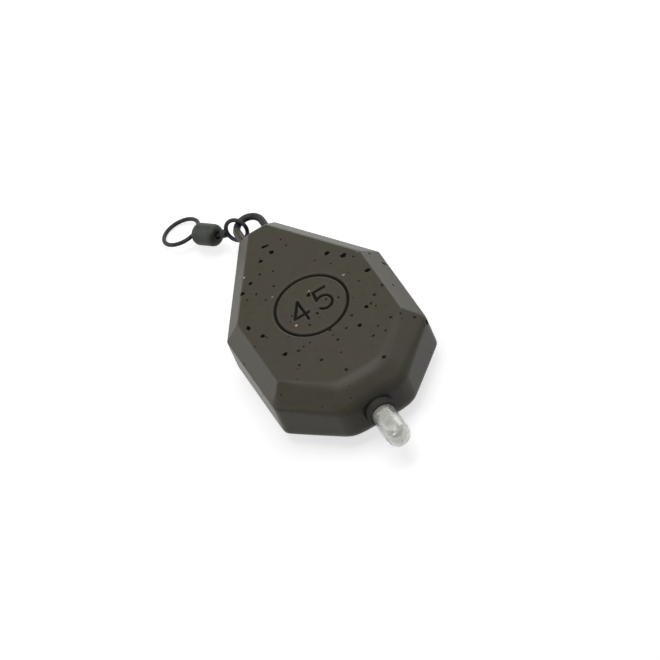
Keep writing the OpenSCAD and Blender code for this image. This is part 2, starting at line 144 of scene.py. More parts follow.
# Larger flecks in the coat: pixel of the photograph, length and width in mm, and turn in degrees
DARK_FLECKS = [
    (264.6, 246.4, 1.65, 0.66, 25), (271.3, 252.2, 1.10, 0.87, 20), (260.5, 261.3, 0.81, 0.81, 30),
    (259.7, 274.5, 0.60, 0.62, 0), (272.9, 271.2, 0.43, 0.44, 60), (250.6, 283.6, 0.81, 0.84, 10),
    (273.7, 286.1, 0.46, 0.44, 40), (242.3, 294.0, 1.12, 0.92, 20), (256.4, 294.4, 0.57, 0.59, 80),
    (247.2, 300.2, 0.40, 0.37, 20), (265.9, 300.0, 0.49, 0.37, 30), (280.5, 239.4, 0.40, 0.37, 0),
    (285.9, 245.2, 0.40, 0.37, 70), (326.7, 253.3, 1.15, 0.85, 28), (343.3, 255.5, 1.28, 0.98, 8),
    (353.1, 256.6, 0.49, 0.37, 10), (330.6, 263.9, 0.40, 0.40, 50), (314.8, 260.5, 0.35, 0.33, 0),
    (358.6, 281.1, 0.57, 0.33, 5), (367.3, 270.4, 1.18, 0.84, 12), (383.8, 263.7, 1.12, 0.55, -22),
    (374.2, 294.7, 0.75, 0.66, -5), (382.0, 285.3, 0.66, 0.62, 10), (393.0, 285.2, 0.60, 0.37, -20),
    (366.2, 306.8, 1.03, 0.77, 20), (370.6, 303.4, 0.72, 0.55, 60), (375.6, 305.9, 0.43, 0.40, 30),
    (351.6, 315.4, 0.66, 0.70, 60), (390.3, 317.2, 0.72, 0.66, 5), (400.0, 313.4, 0.55, 0.48, 10),
    (414.0, 317.2, 0.72, 0.62, 0), (426.4, 322.2, 1.15, 1.10, 60), (359.4, 325.3, 0.88, 0.77, 12),
    (346.1, 328.0, 0.57, 0.55, 40), (330.0, 329.5, 0.72, 0.77, 10), (337.8, 339.4, 0.72, 0.62, -30),
    (333.0, 335.1, 0.37, 0.37, 0), (309.8, 325.0, 0.57, 0.59, 20), (248.4, 328.3, 0.88, 1.06, 50),
    (263.0, 336.1, 0.92, 0.84, -5), (266.9, 337.3, 0.40, 0.37, 0), (298.8, 350.6, 0.77, 0.55, 10),
    (303.9, 346.4, 0.52, 0.48, 30), (310.2, 342.5, 0.43, 0.40, 40), (285.3, 354.0, 1.00, 0.90, 25),
    (299.7, 364.7, 0.57, 0.55, -40), (321.8, 359.4, 0.77, 0.77, -60), (346.1, 369.2, 0.72, 0.81, 0),
    (383.5, 356.5, 0.86, 0.72, 15), (372.9, 335.4, 0.86, 0.48, 40), (308.6, 295.0, 0.88, 0.81, 40),
    (300.5, 308.1, 1.06, 0.84, 5), (338.3, 297.5, 0.46, 0.44, 20), (326.3, 299.2, 0.43, 0.40, 0),
    (377.6, 326.0, 0.57, 0.48, -10), (385.2, 330.6, 0.60, 0.51, 10), (341.0, 352.0, 0.40, 0.37, 0),
    (292.0, 316.0, 0.43, 0.40, 0), (263.3, 394.4, 0.72, 0.48, -40), (369.5, 253.9, 0.49, 0.40, 0),
]
# Dark flecks of an area between these, in square mm, lie just under the skin and look paler
SUNK_AREAS = (0.24, 0.62)
PALE_FLECKS = [
    (244.0, 277.7, 0.44, 0.39, 0), (296.4, 325.6, 0.51, 0.45, 30), (343.3, 275.0, 0.56, 0.24, 5),
    (308.9, 291.2, 0.38, 0.33, 30), (272.4, 297.0, 0.28, 0.21, 0),
]

# The shader's sockets that have other names here, and the places of a Mix node's sockets for colours
SOCKET_NAMES = {"ior": "IOR", "gloss": "Specular IOR Level"}
MIX_SHARE, MIX_FIRST, MIX_SECOND, MIX_RESULT = 0, 6, 7, 2


class Value:
    """A node's output, whose arithmetic adds Math nodes."""

    def __init__(self, recipe, socket):
        self.recipe = recipe
        self.socket = socket

    def maths(self, operation, *operands):
        """The result of a Math node on the operands."""
        return self.recipe.node("ShaderNodeMath", {"operation": operation}, dict(enumerate(operands)))

    def __add__(self, other):
        return self.maths("ADD", self, other)

    def __radd__(self, other):
        return self.maths("ADD", other, self)

    def __sub__(self, other):
        return self.maths("SUBTRACT", self, other)

    def __rsub__(self, other):
        return self.maths("SUBTRACT", other, self)

    def __mul__(self, other):
        return self.maths("MULTIPLY", self, other)

    def __rmul__(self, other):
        return self.maths("MULTIPLY", other, self)

    def root(self):
        return self.maths("SQRT", self)

    def clipped(self):
        """The value, kept between 0 and 1."""
        return self.maths("MINIMUM", self.maths("MAXIMUM", self, 0), 1)

    def rises(self, low, high):
        """0 below low and 1 above high, with a soft step between them."""
        bounds = {"From Min": low, "From Max": high}
        return self.recipe.node(
            "ShaderNodeMapRange", {"interpolation_type": "SMOOTHSTEP"}, {"Value": self, **bounds}
        )


class Recipe:
    """The nodes of one finish. Places are in mm of the piece's own frame."""

    def __init__(self, tree):
        self.tree = tree
        self.tree.nodes.clear()

    def node(self, kind, settings=None, inputs=None, output=0):
        """One output of a new node. Its settings come first, then its sockets' values or links."""
        made = self.tree.nodes.new(kind)
        for name, setting in (settings or {}).items():
            setattr(made, name, setting)
        for name, given in (inputs or {}).items():
            if isinstance(given, Value):
                self.tree.links.new(given.socket, made.inputs[name])
            else:
                made.inputs[name].default_value = given
        return Value(self, made.outputs[output]) if made.outputs else None

    def place(self, stretch=(1, 1, 1)):
        """The place on the piece in mm, stretched along each axis."""
        spot = self.node("ShaderNodeTexCoord", output="Object")
        scale = tuple(s / MM for s in stretch)
        return self.node("ShaderNodeVectorMath", {"operation": "MULTIPLY"}, {0: spot, 1: scale})

    def parts(self, vector):
        """A place's three measures."""
        return [self.node("ShaderNodeSeparateXYZ", inputs={0: vector}, output=i) for i in range(3)]

    def cloud(self, where, size, detail=3, roughness=0.5):
        """Soft noise from 0 to 1 whose lumps are about size mm across."""
        inputs = {"Vector": where, "Scale": 1 / size, "Detail": detail, "Roughness": roughness}
        return self.node("ShaderNodeTexNoise", inputs=inputs)

    def stirred(self, where, size, reach):
        """The place, pushed about by noise, so that round marks turn ragged."""
        inputs = {"Vector": where, "Scale": 1 / size, "Detail": 2}
        push = self.node("ShaderNodeTexNoise", inputs=inputs, output="Color")
        centred = self.node("ShaderNodeVectorMath", {"operation": "SUBTRACT"}, {0: push, 1: (0.5,) * 3})
        scaled = self.node("ShaderNodeVectorMath", {"operation": "SCALE"}, {0: centred, "Scale": reach})
        return self.node("ShaderNodeVectorMath", {"operation": "ADD"}, {0: where, 1: scaled})

    def specks(self, where, spacing, share, largest):
        """Specks up to largest mm in radius, in the given share of cells spacing mm across."""
        settings = {"feature": "F1", "voronoi_dimensions": "3D"}
        inputs = {"Vector": where, "Scale": 1 / spacing, "Randomness": 1}
        near = self.node("ShaderNodeTexVoronoi", settings, inputs, "Distance")
        draw = self.node("ShaderNodeTexVoronoi", settings, inputs, "Color")
        pick = self.node("ShaderNodeSeparateColor", inputs={0: draw}, output="Red")
        grow = self.node("ShaderNodeSeparateColor", inputs={0: draw}, output="Green")
        chosen = 1 - pick.rises(share - 0.01, share + 0.01)
        radius = (0.35 + 0.65 * grow) * (largest / spacing)
        edge = 0.12 * largest / spacing
        return chosen * (radius - near).rises(-edge, edge)

    def tint(self, share, first, second):
        """A colour that goes from the first to the second."""
        ends = [color if isinstance(color, Value) else (*color, 1) for color in (first, second)]
        inputs = {MIX_SHARE: share, MIX_FIRST: ends[0], MIX_SECOND: ends[1]}
        return self.node("ShaderNodeMix", {"data_type": "RGBA"}, inputs, MIX_RESULT)

    def relief(self, height):
        """A surface raised by a height in mm."""
        return self.node("ShaderNodeBump", inputs={"Height": height, "Strength": 1, "Distance": MM})

    def surface(self, color, **given):
        """The finish itself. Names follow the shader's sockets, with underscores for spaces."""
        inputs = {"Base Color": color if isinstance(color, Value) else (*color, 1)}
        for name, value in given.items():
            inputs[SOCKET_NAMES.get(name, name.replace("_", " ").title())] = value
        return self.node("ShaderNodeBsdfPrincipled", inputs=inputs)


def finish(name):
    """A new material and the recipe for its nodes."""
    material = bpy.data.materials.new(name)
    material.use_nodes = True
    return material, Recipe(material.node_tree)


def close(recipe, shader):
    """Gives the finish its surface."""
    recipe.node("ShaderNodeOutputMaterial", inputs={"Surface": shader})


def groove_shade_mask(r, where, face_z):
    """1 in the pressed ring and number, where painted shade darkens the coat, and 0 on the rest of the
    coat.
    """
    x, y, z = r.parts(where)
    across = x - RING_PLACE[0]
    along = y - RING_PLACE[1]
    from_middle = (across * across + along * along).root()
    in_patch = 1 - from_middle.rises(PATCH_RADIUS - 0.2, PATCH_RADIUS)
    floor, shoulder, below, well_below = [
        face_z / MM - GROOVE_DEPTH * share for share in (0.85, 0.12, 1.3, 1.6)
    ]
    sunk = 1 - z.rises(floor, shoulder)
    on_front = z.rises(well_below, below)
    return sunk * in_patch * on_front


def coat_finish(face_z, lip):
    """Satin olive-brown dip with ragged black and a few pale specks, with painted shade round the lip and
    in the pressed ring and number.
    """
    material, r = finish("speckled_dip")
    where = r.place()
    broad = r.cloud(where, size=7, detail=2)
    mottle = r.cloud(where, size=1.6, detail=4, roughness=0.6)
    grain = r.cloud(where, size=0.22, detail=3)
    ragged = r.stirred(where, size=0.35, reach=0.30)
    small = r.specks(ragged, spacing=0.95, share=0.16, largest=0.15)
    tiny = r.specks(ragged, spacing=0.5, share=0.12, largest=0.09)
    less_ragged = r.stirred(where, size=0.3, reach=0.2)
    pale = r.specks(less_ragged, spacing=1.7, share=0.035, largest=0.11)
    ends = {0: where, 1: lip / MM}
    from_lip = r.node("ShaderNodeVectorMath", {"operation": "DISTANCE"}, ends, "Value")
    # Painted shade: the coat's colour turns darker round the lip, standing in for the shade of the nose
    # there.
    painted_shade_near_lip = 1 - (from_lip + 1.6 * broad).rises(3.7, 7.7)

    olive = r.tint(broad.rises(0.35, 0.65), (0.054, 0.049, 0.028), (0.060, 0.049, 0.035))
    worn = r.tint(mottle.rises(0.3, 0.75) * 0.45, olive, (0.069, 0.061, 0.041))
    dusty = r.tint(grain.rises(0.4, 0.8) * 0.25, worn, (0.079, 0.071, 0.052))
    shaded_near_lip = r.tint(painted_shade_near_lip * 0.56, dusty, (0.023, 0.022, 0.017))
    spotted = r.tint(pale, shaded_near_lip, (0.42, 0.41, 0.37))
    rough = 0.27 + 0.10 * mottle + 0.05 * grain
    height = 0.008 * mottle + 0.004 * grain + 0.010 * pale
    satin = r.surface(spotted, roughness=rough, gloss=0.24, normal=r.relief(height))

    # Near-black matt surface: the coat's own black specks, and painted shade inside the pressed ring and
    # number.
    specks_and_groove_shade_black = r.tint(grain, (0.004, 0.004, 0.004), (0.008, 0.008, 0.007))
    matt = r.surface(specks_and_groove_shade_black, roughness=0.85 - 0.1 * grain, gloss=0.12)
    dark = (small + tiny).clipped()
    share = (dark + groove_shade_mask(r, where, face_z) * 0.9).clipped()
    close(r, r.node("ShaderNodeMixShader", inputs={0: share, 1: satin, 2: matt}))
    return material


def fleck_finish(name, color, lift, rough, gloss):
    """A flake of colour in the dip, lighter in parts by up to lift times."""
    material, r = finish(name)
    grain = r.cloud(r.place(), size=0.12, detail=3)
    shade = r.tint(grain, color, tuple(min(1, c * lift) for c in color))
    dull = rough + 0.1 * grain
    close(r, r.surface(shade, roughness=dull, gloss=gloss, normal=r.relief(0.006 * grain)))
    return material


def plated_wire_finish(name, light, dark, metallic):
    """Matt black-nickel plating with a fine drawn grain and rubbed high spots."""
    material, r = finish(name)
    where = r.place()
    patch = r.cloud(where, size=1.4, detail=3)
    grain = r.cloud(where, size=0.09, detail=2)
    drawn = r.cloud(r.place((1, 0.12, 1)), size=0.11, detail=2)
    color = r.tint(patch.rises(0.3, 0.7), dark, light)
    rubbed = r.tint(grain.rises(0.55, 0.85) * 0.35, color, tuple(2.1 * c for c in light))
    rough = 0.40 + 0.16 * patch + 0.08 * grain
    height = 0.004 * grain + 0.005 * drawn
    shader = r.surface(rubbed, metallic=metallic, roughness=rough, normal=r.relief(height))
    close(r, shader)
    return material


def rubber_finish():
    """Soft dark rubber with a dull bloom."""
    material, r = finish("dark_rubber")
    where = r.place()
    bloom = r.cloud(where, size=0.9, detail=4)
    grain = r.cloud(where, size=0.10, detail=3)
    color = r.tint(bloom.rises(0.35, 0.75), (0.030, 0.028, 0.024), (0.046, 0.043, 0.036))
    rough = 0.62 + 0.2 * bloom
    close(r, r.surface(color, roughness=rough, gloss=0.3, normal=r.relief(0.008 * grain)))
    return material


def milky_tube_finish():
    """Milky light-stick plastic that lets the rod inside show."""
    material, r = finish("milky_tube_plastic")
    where = r.place()
    streak = r.cloud(r.place((1, 0.25, 1)), size=0.8, detail=3)
    grain = r.cloud(where, size=0.15, detail=2)
    color = r.tint(streak, (0.82, 0.82, 0.79), (0.91, 0.91, 0.88))
    rough = 0.08 + 0.05 * streak + 0.03 * grain
    shader = r.surface(
        color, roughness=rough, transmission_weight=0.84, ior=1.45, gloss=0.5,
        normal=r.relief(0.003 * grain + 0.004 * streak),
    )
    close(r, shader)
    return material


def lamp_resin_finish():
    """Cloudy clear cast resin with faint flow marks."""
    material, r = finish("clear_lamp_resin")
    flow = r.cloud(r.place((1, 0.3, 1)), size=0.7, detail=2)
    color = r.tint(flow, (0.86, 0.87, 0.83), (0.94, 0.95, 0.91))
    rough = 0.05 + 0.05 * flow
    shader = r.surface(
        color, roughness=rough, transmission_weight=0.75, ior=1.5, normal=r.relief(0.004 * flow)
    )
    close(r, shader)
    return material


def bright_metal_finish(name, light, dark, rough, along=(1, 0.06, 1), pitch=0.12):
    """Bare metal with fine lines along or across the piece and faint stains."""
    material, r = finish(name)
    where = r.place()
    lines = r.cloud(r.place(along), size=pitch, detail=3)
    stain = r.cloud(where, size=1.1, detail=4)
    color = r.tint(stain.rises(0.3, 0.75), light, dark)
    roughness = rough + 0.14 * stain + 0.08 * lines
    shader = r.surface(color, metallic=1, roughness=roughness, normal=r.relief(0.006 * lines))
    close(r, shader)
    return material


def moulded_plastic_finish(name, light, dark, rough):
    """Plain moulded plastic, a little uneven."""
    material, r = finish(name)
    where = r.place()
    cloudy = r.cloud(where, size=1.3, detail=3)
    grain = r.cloud(where, size=0.14, detail=3)
    color = r.tint(cloudy, light, dark)
    roughness = rough + 0.12 * cloudy
    shader = r.surface(color, roughness=roughness, gloss=0.45, normal=r.relief(0.006 * grain))
    close(r, shader)
    return material


def pressed_powder_finish():
    """Black cathode powder pressed into a tube."""
    material, r = finish("pressed_black_powder")
    where = r.place()
    grit = r.cloud(where, size=0.16, detail=5, roughness=0.7)
    glint = r.specks(where, spacing=0.3, share=0.2, largest=0.05)
    black = r.tint(grit, (0.010, 0.010, 0.011), (0.045, 0.045, 0.048))
    color = r.tint(glint, black, (0.16, 0.16, 0.17))
    close(r, r.surface(color, roughness=0.75 + 0.2 * grit, normal=r.relief(0.03 * grit)))
    return material


def chip_finish():
    """Yellow light-giving chip."""
    material, r = finish("yellow_chip")
    grain = r.cloud(r.place(), size=0.05, detail=3)
    color = r.tint(grain, (0.75, 0.62, 0.10), (0.92, 0.82, 0.26))
    close(r, r.surface(color, roughness=0.45 + 0.2 * grain, normal=r.relief(0.004 * grain)))
    return material


def lead_finish():
    """Bare cast lead, dull and slightly pitted."""
    material, r = finish("cast_lead")
    where = r.place()
    frost = r.cloud(where, size=2.2, detail=5, roughness=0.65)
    pits = r.specks(where, spacing=0.9, share=0.2, largest=0.12)
    color = r.tint(frost, (0.20, 0.21, 0.23), (0.36, 0.37, 0.40))
    rough = 0.5 + 0.2 * frost
    height = 0.03 * frost - 0.05 * pits
    close(r, r.surface(color, metallic=0.9, roughness=rough, normal=r.relief(height)))
    return material


def new_piece(name, mesh, body, material):
    """A piece of one material, riding on a body."""
    piece = bpy.data.objects.new(name, mesh)
    bpy.context.scene.collection.objects.link(piece)
    piece.data.materials.clear()
    piece.data.materials.append(material)
    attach(piece, body)
    return piece


def shade(mesh, sharp_degrees):
    """Smooth shading that keeps the edges sharper than the given angle."""
    for face in mesh.polygons:
        face.use_smooth = True
    mesh.set_sharp_from_angle(angle=math.radians(sharp_degrees))


def closed_mesh(name, bm, sharp_degrees=60):
    """The shaded mesh of a closed form, which is used up."""
    bmesh.ops.recalc_face_normals(bm, faces=bm.faces)
    mesh = bpy.data.meshes.new(name)
    bm.to_mesh(mesh)
    bm.free()
    shade(mesh, sharp_degrees)
    return mesh


def numeral_strokes():
    """The strokes of the number 4.5, as chains of points in mm on the front face."""
    four = [(0.74, 0), (0.74, 1), (0, 0.30), (1, 0.30)]
    middle, wide, tall = (0.42, 0.33), 0.53, 0.33
    turns = [math.radians(turn) for turn in range(132, -151, -12)]
    bowl = [(middle[0] + wide * math.cos(turn), middle[1] + tall * math.sin(turn)) for turn in turns]
    five = [(0.96, 1), (0.16, 1), (0.06, 0.57)] + bowl
    point = [(0, 0), (0.01, 0)]
    strokes = []
    for chain, left in ((four, -(NUMERAL_WIDTH + NUMERAL_GAP)), (point, 0), (five, NUMERAL_GAP)):
        strokes.append([
            (RING_PLACE[0] + left + u * NUMERAL_WIDTH, RING_PLACE[1] + (v - 0.5) * NUMERAL_HEIGHT)
            for u, v in chain
        ])
    return strokes


def distance_to_chain(places, chain):
    """Shortest distance from each place to a chain of points."""
    nearest = np.full(len(places), np.inf)
    for start, end in zip(chain[:-1], chain[1:]):
        start = np.array(start)
        run = np.array(end) - start
        along = np.clip(((places - start) @ run) / (run @ run), 0, 1)
        gap = np.linalg.norm(places - start - along[:, None] * run, axis=1)
        nearest = np.minimum(nearest, gap)
    return nearest


def groove_profile(distance):
    """Height in mm across a pressed groove: a round-shouldered channel with a faint lip."""
    floor_ends, wall_run = 0.1, 0.98
    lip_top, lip_spread = 1.45, 0.3
    share = distance / GROOVE_HALF
    rise = np.clip((share - floor_ends) / wall_run, 0, 1)
    wall = rise * rise * (3 - 2 * rise)
    lip = np.exp(-(((share - lip_top) / lip_spread) ** 2))
    return -GROOVE_DEPTH * (1 - wall) + GROOVE_LIP * lip


def pressed_patch(bm, face_z):
    """Adds the round patch of the front that carries the ring and the number, and returns its rim."""
    centre = np.array(RING_PLACE)
    angles = 2 * math.pi * np.arange(PATCH_TURNS) / PATCH_TURNS
    spots = [centre]
    for ring in range(1, PATCH_RINGS + 1):
        radius = PATCH_RADIUS * ring / PATCH_RINGS
        spots.extend(centre + radius * np.stack([np.cos(angles), np.sin(angles)], axis=1))
    spots = np.array(spots)
    from_ring = np.abs(np.linalg.norm(spots - centre, axis=1) - RING_RADIUS)
    nearest = np.minimum.reduce([from_ring] + [distance_to_chain(spots, c) for c in numeral_strokes()])
    heights = groove_profile(nearest)
    heights[-PATCH_TURNS:] = 0
    verts = [
        bm.verts.new((spot[0] * MM, spot[1] * MM, face_z + height * MM))
        for spot, height in zip(spots, heights)
    ]
    for k in range(PATCH_TURNS):
        after = (k + 1) % PATCH_TURNS
        bm.faces.new((verts[0], verts[1 + k], verts[1 + after]))
        for ring in range(PATCH_RINGS - 1):
            low, high = 1 + ring * PATCH_TURNS, 1 + (ring + 1) * PATCH_TURNS
            bm.faces.new((verts[low + k], verts[high + k], verts[high + after], verts[low + after]))
    rim = verts[-PATCH_TURNS:]
    return [bm.edges.get((rim[k], rim[(k + 1) % PATCH_TURNS])) for k in range(PATCH_TURNS)]


def shaped(mesh, *steps):
    """The mesh after the given modifiers, each a kind and its settings."""
    blank = bpy.data.objects.new("blank", mesh)
    bpy.context.scene.collection.objects.link(blank)
    for kind, settings in steps:
        made = blank.modifiers.new(kind.lower(), kind)
        for name, value in settings.items():
            setattr(made, name, value)
    graph = bpy.context.evaluated_depsgraph_get()
    result = bpy.data.meshes.new_from_object(blank.evaluated_get(graph))
    bpy.data.objects.remove(blank)
    return result


def flat_sides(bm):
    """The flat outer sides of the coat, each as its outward normal and its distance from the origin."""
    same_way = 0.999
    sides = []
    for face in bm.faces:
        reach = face.normal.dot(face.calc_center_median())
        outermost = max(face.normal.dot(vert.co) for vert in bm.verts)
        known = any(face.normal.dot(normal) > same_way for normal, _ in sides)
        if not known and face.calc_area() > SIDE_LEAST * MM * MM and outermost < reach + HAIR * MM:
            sides.append((face.normal.copy(), reach))
    return sides


def cut_nose_into_cells(bm):
    """Cuts the sides round the nose into small cells that can follow a round form."""
    nose = NOSE_STARTS * MM - HAIR * MM
    for axis in (1, 0, 2):  # along the weight first, then across it, then through it
        low = min(vert.co[axis] for vert in bm.verts)
        place = NOSE_STARTS * MM if axis == 1 else max(vert.co[axis] for vert in bm.verts)
        normal = Vector([float(k == axis) for k in range(3)])
        while place > low:
            near = [face for face in bm.faces if min(vert.co.y for vert in face.verts) < nose]
            edges = {edge for face in near for edge in face.edges}
            verts = {vert for face in near for vert in face.verts}
            bmesh.ops.bisect_plane(
                bm, geom=[*verts, *edges, *near], dist=WELD_GAP * MM,
                plane_co=normal * place, plane_no=normal,
            )
            place -= NOSE_CELL * MM


def drawn_in(place, sides, radius):
    """The place, drawn in to where the edges between the sides have the given radius."""
    spot = place.copy()
    for _ in range(ROUNDING_PASSES):
        over = [(normal, normal.dot(spot) - reach + radius) for normal, reach in sides]
        pull = sum((normal * past for normal, past in over if past > 0), Vector())
        size = math.sqrt(sum(past * past for _, past in over if past > 0))
        spot -= pull * size * (size - radius) / pull.length_squared
    return spot


def melt_nose(bm):
    """Gives the sides round the nose the soft edges that a thick dip leaves."""
    sides = flat_sides(bm)
    cut_nose_into_cells(bm)
    for vert in bm.verts:
        into = NOSE_STARTS * MM - vert.co.y
        depth = -max(normal.dot(vert.co) - reach for normal, reach in sides)
        if into < 0 or depth > SKIN_DEPTH * MM:
            continue
        share = min(1, into / (NOSE_FADE * MM))
        radius = (EDGE_ROUNDING + (NOSE_ROUNDING - EDGE_ROUNDING) * share * share) * MM
        spot = drawn_in(vert.co, sides, radius)
        vert.co = vert.co.lerp(spot, min(1, into / (NOSE_EASE * MM)))


def plain_front(bm, face_z):
    """The faces of the flat front, and of the plain ring groove that the CAD solid has in it."""
    level = 0.001 * MM
    groove_floor = face_z - CAD_RING_REACH * MM
    faces = []
    for face in bm.faces:
        flat = max(face_z - vert.co.z for vert in face.verts) < level
        in_ring = max(vert.co.xy.length for vert in face.verts) < PATCH_RADIUS * MM
        if min(vert.co.z for vert in face.verts) > groove_floor and (flat or in_ring):
            faces.append(face)
    return faces


def coat_with_number(material):
    """The coat, with its front face made again round the pressed ring and number."""
    face_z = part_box("speckled_coat")[1].z
    bm = bmesh.new()
    bm.from_mesh(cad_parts["speckled_coat"].data)
    bmesh.ops.remove_doubles(bm, verts=bm.verts, dist=WELD_GAP * MM)
    bmesh.ops.dissolve_limit(bm, angle_limit=math.radians(0.5), verts=bm.verts, edges=bm.edges)
    melt_nose(bm)
    bmesh.ops.delete(bm, geom=plain_front(bm, face_z), context="FACES")
    outer = [edge for edge in bm.edges if edge.is_boundary]
    for edge in outer:
        for vert in edge.verts:
            vert.co.z = face_z
    rim = pressed_patch(bm, face_z)
    bmesh.ops.triangle_fill(bm, edges=outer + rim, use_beauty=True, normal=(0, 0, 1))
    bmesh.ops.dissolve_degenerate(bm, dist=WELD_GAP * MM, edges=bm.edges)
    mesh = closed_mesh("coat_with_number", bm, sharp_degrees=40)
    piece = new_piece("coat_with_number", mesh, "weight", material)
    weigh = piece.modifiers.new("flat_faces", "WEIGHTED_NORMAL")
    weigh.keep_sharp = True
    weigh.weight = 80
    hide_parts("speckled_coat")
    return piece


def photo_place(u, v):
    """The point seen at a pixel of the photograph, in the plane through the anchor."""
    right = (u - ANCHOR_PIXEL[0]) / PIXELS_PER_MM * MM
    up = (ANCHOR_PIXEL[1] - v) / PIXELS_PER_MM * MM
    return ANCHOR_PLACE + LOOK_RIGHT * right + LOOK_UP * up


def laid(tree, place, height):
    """The point at this height over the skin nearest to a place."""
    spot, normal, _, _ = tree.find_nearest(place)
    return spot + normal * height


def flake(bm, tree, spot, normal, heading, length, width, draw):
    """A thin ragged flake that follows the coat's skin and edges, just proud of it."""
    crown, skirt = FLAKE_CROWN * MM, FLAKE_SKIRT * MM
    side = normal.cross(heading).normalized()
    heading = side.cross(normal).normalized()
    turns = [2 * math.pi * (k + draw.uniform(-0.3, 0.3)) / FLAKE_CORNERS for k in range(FLAKE_CORNERS)]
    reaches = [draw.uniform(*FLAKE_REACHES) / 2 for _ in turns]
    spokes = [
        (heading * (math.cos(turn) * length) + side * (math.sin(turn) * width)) * reach
        for turn, reach in zip(turns, reaches)
    ]
    levels = ((0.34, crown), (0.67, crown), (0.97, crown * 0.7), (1.08, -skirt))
    rings = [
        [bm.verts.new(laid(tree, spot + spoke * share, height)) for spoke in spokes]
        for share, height in levels
    ]
    top = bm.verts.new(laid(tree, spot, crown))
    foot = bm.verts.new(laid(tree, spot, -skirt))
    for k in range(FLAKE_CORNERS):
        after = (k + 1) % FLAKE_CORNERS
        bm.faces.new((top, rings[0][k], rings[0][after]))
        for inner, outer in zip(rings[:-1], rings[1:]):
            bm.faces.new((inner[k], outer[k], outer[after], inner[after]))
        bm.faces.new((foot, rings[-1][after], rings[-1][k]))


def photographed_flakes(tree, rows):
    """Where the flecks of the photograph lie on the coat."""
    for u, v, length, width, turn in rows:
        start = photo_place(u, v) + LOOK_BACK * CAST_FROM
        spot, normal, _, _ = tree.ray_cast(start, -LOOK_BACK)
        if spot is None:
            continue
        angle = math.radians(turn)
        heading = LOOK_RIGHT * math.cos(angle) + LOOK_UP * math.sin(angle)
        yield spot, normal, heading, length * MM, width * MM


def scattered_flakes(tree, count, draw):
    """Flecks on the sides that the photograph doesn't show."""
    low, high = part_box("speckled_coat")
    found = 0
    while found < count:
        start = Vector([draw.uniform(a, b) for a, b in zip(low, high)])
        aim = Vector((draw.uniform(-1, 1), draw.uniform(-1, 1), draw.uniform(-1, -0.1))).normalized()
        spot, normal, _, _ = tree.ray_cast(start + aim * CAST_FROM, -aim)
        if spot is None or normal.dot(LOOK_BACK) > TURNED_AWAY:
            continue
        found += 1
        length = draw.choice(SCATTERED_LENGTHS) * MM
        heading = Vector([draw.uniform(-1, 1) for _ in range(3)])
        yield spot, normal, heading, length, length * draw.uniform(*SCATTERED_WIDTHS)


def is_sunk(row):
    """Whether a dark fleck is one of those under the skin."""
    _, _, length, width, _ = row
    return SUNK_AREAS[0] < length * width < SUNK_AREAS[1]


def set_flakes(name, coat, rows, scattered, material, seed):
    """All flecks of one colour, as one piece on the weight."""
    draw = random.Random(seed)
    tree = BVHTree.FromObject(coat, bpy.context.evaluated_depsgraph_get())
    bm = bmesh.new()
    for place in [*photographed_flakes(tree, rows), *scattered_flakes(tree, scattered, draw)]:
        flake(bm, tree, *place, draw)
    return new_piece(name, closed_mesh(name, bm), "weight", material)


def drawn_eye(name, node, body, material):
    """A swivel eye whose neck flows into its ring, as bent and pressed wire does."""
    mesh = shaped(
        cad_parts[node].data.copy(),
        ("WELD", {"merge_threshold": EYE_WELD * MM}),
        ("REMESH", {"mode": "VOXEL", "voxel_size": EYE_VOXEL * MM}),
        ("SMOOTH", {"factor": 0.5, "iterations": EYE_SMOOTHINGS}),
    )
    shade(mesh, sharp_degrees=60)
    piece = new_piece(name, mesh, body, material)
    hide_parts(node)
    return piece


def crept_skin(side, creep, share, turn):
    """How far up its leg a place on the crept dip lies, and how far over the wire, in metres."""
    lean = 0.07 * math.sin(turn + 1 + side)
    ripple = 0.03 * math.sin(3 * turn)
    reach = (share * (creep * (1 + lean + ripple) + CREPT_FOOT) - CREPT_FOOT) * MM
    film = CREPT_FILM * (1 + 0.25 * math.sin(2 * turn + 9 * share))
    flare = CREPT_FLARE * min(1, max(0, 1 - reach / MM)) ** 3
    thins_out = 1 - share ** 14
    return reach, ((film + flare) * thins_out - CREPT_SINK) * MM


def crept_dip(material):
    """The skin of dip that has crept up the legs of the wire loop, thin and uneven where it ends."""
    low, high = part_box("wire_loop")
    wire = (high.z - low.z) / 2
    bend = LOOP_BEND * MM
    centre = Vector((0, high.y - wire - bend, (low.z + high.z) / 2))
    straight = centre.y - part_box("speckled_coat")[1].y
    turns = [2 * math.pi * k / CREPT_TURNS for k in range(CREPT_TURNS)]
    bm = bmesh.new()
    for side, creep in ((-1, LEFT_CREEP), (1, RIGHT_CREEP)):
        rings = []
        for step in range(CREPT_STEPS + 1):
            ring = []
            for turn in turns:
                reach, film = crept_skin(side, creep, step / CREPT_STEPS, turn)
                radius = wire + film
                angle = max(0, reach - straight) / bend
                out = Vector((side * math.cos(angle), math.sin(angle), 0))
                spot = centre + out * bend + Vector((0, min(0, reach - straight), 0))
                spot += out * math.cos(turn) * radius + Vector((0, 0, math.sin(turn) * radius))
                ring.append(bm.verts.new(spot))
            rings.append(ring)
        for low_ring, high_ring in zip(rings[:-1], rings[1:]):
            for k in range(CREPT_TURNS):
                after = (k + 1) % CREPT_TURNS
                bm.faces.new((low_ring[k], low_ring[after], high_ring[after], high_ring[k]))
        bm.faces.new(rings[0])
        bm.faces.new(rings[-1])
    return new_piece("crept_dip", closed_mesh("crept_dip", bm), "weight", material)


def give(material, *nodes):
    """Gives a finish to nodes that keep their CAD shape."""
    for node in nodes:
        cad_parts[node].material_slots[0].material = material


